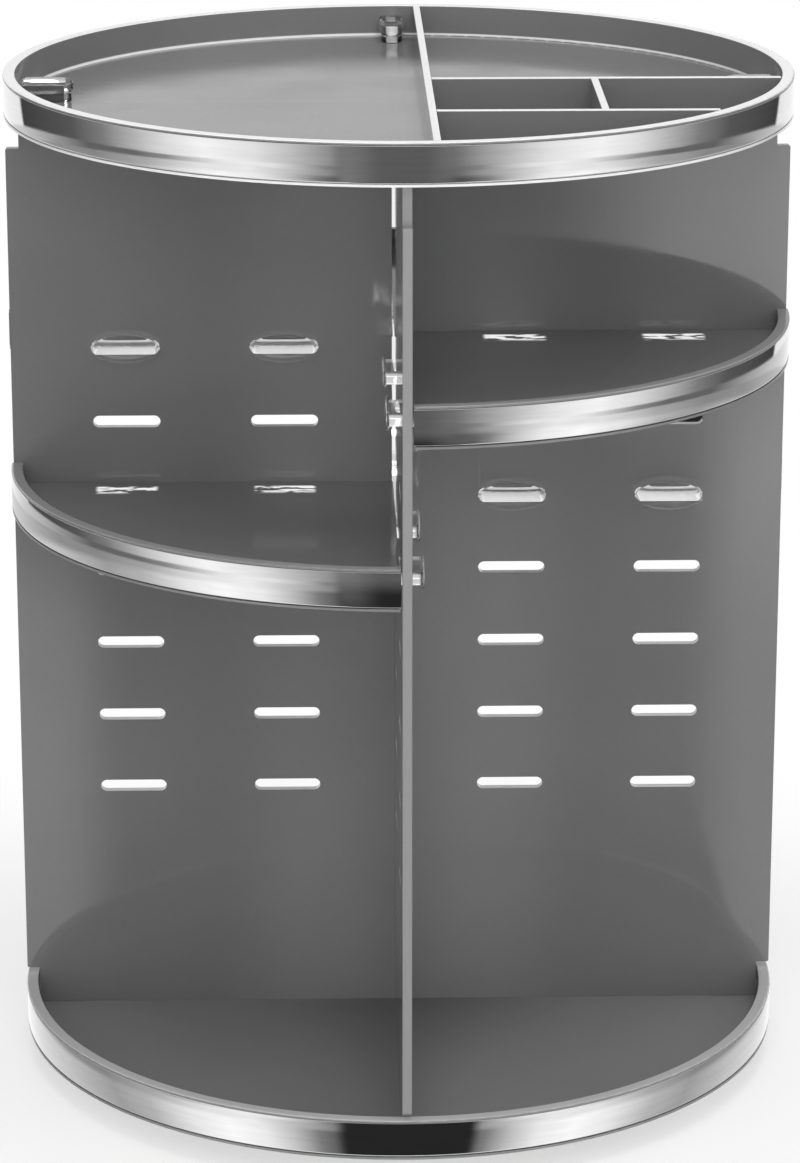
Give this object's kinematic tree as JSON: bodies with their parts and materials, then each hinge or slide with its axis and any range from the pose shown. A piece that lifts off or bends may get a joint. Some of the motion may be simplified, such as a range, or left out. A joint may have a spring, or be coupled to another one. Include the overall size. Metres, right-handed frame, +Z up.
{
  "type": "rotating cosmetics organizer",
  "caption": "Round rotating cosmetics organizer: crossed slotted panels between a base tray and a divided top tray, with adjustable quarter shelves on clips.",
  "frame": {"origin": "centre of the underside on the table, on the axis of rotation", "axes": "+Z up along the axis of rotation, -Y to the front, +X to the right"},
  "size_m": [0.231, 0.231, 0.3024],
  "materials": {
    "smoked_acrylic": "clear smoke-grey acrylic, polished",
    "silver_trim": "mirror-polished silver strip",
    "clear_plastic": "clear moulded plastic, glossy",
    "black_plastic": "black moulded plastic, satin",
    "white_plastic": "white moulded plastic, satin",
    "steel": "bright zinc-plated steel",
    "rubber": "matt black rubber"
  },
  "bodies": {
    "stand": {"foot_plate": "black_plastic", "rubber_feet": "rubber"},
    "bearing": {"ball_cage": "white_plastic", "bearing_balls": "steel"},
    "carousel": {"turntable_plate": "black_plastic", "pivot_pin": "steel", "retaining_washer": "steel", "pivot_screw": "steel", "plate_screws": "steel", "base_tray": "smoked_acrylic", "base_band": "silver_trim", "cross_panel": "smoked_acrylic", "fore_aft_panel": "smoked_acrylic", "top_tray": "smoked_acrylic", "top_band": "silver_trim", "panel_locks": "smoked_acrylic", "main_divider": "smoked_acrylic", "cross_divider": "smoked_acrylic", "front_divider": "smoked_acrylic", "short_divider": "smoked_acrylic", "rear_right_clips": "clear_plastic", "rear_left_clips": "clear_plastic", "front_left_clips": "clear_plastic", "front_right_clips": "clear_plastic"},
    "rear_right_tray": {"rear_right_shelf": "smoked_acrylic", "rear_right_shelf_band": "silver_trim"},
    "rear_left_tray": {"rear_left_shelf": "smoked_acrylic", "rear_left_shelf_band": "silver_trim"},
    "front_left_tray": {"front_left_shelf": "smoked_acrylic", "front_left_shelf_band": "silver_trim"},
    "front_right_tray": {"front_right_shelf": "smoked_acrylic", "front_right_shelf_band": "silver_trim"}
  },
  "joints": [
    {"name": "turntable_spin", "type": "hinge", "parent": "stand", "child": "carousel", "pos_m": [0, 0, 0.006], "axis": [0, 0, 1], "continuous": true},
    {"name": "bearing_spin", "type": "hinge", "parent": "stand", "child": "bearing", "pos_m": [0, 0, 0.0049], "axis": [0, 0, 1], "continuous": true},
    {"name": "rear_right_lift", "type": "slide", "parent": "carousel", "child": "rear_right_tray", "axis": [0, 0, 1], "range_m": [0, 0.023]},
    {"name": "rear_left_lift", "type": "slide", "parent": "carousel", "child": "rear_left_tray", "axis": [0, 0, 1], "range_m": [0, 0.023]},
    {"name": "front_left_lift", "type": "slide", "parent": "carousel", "child": "front_left_tray", "axis": [0, 0, 1], "range_m": [0, 0.023]},
    {"name": "front_right_lift", "type": "slide", "parent": "carousel", "child": "front_right_tray", "axis": [0, 0, 1], "range_m": [0, 0.023]}
  ],
  "couplings": [
    {"joint": "bearing_spin", "follows": "turntable_spin", "ratio": 0.5}
  ]
}
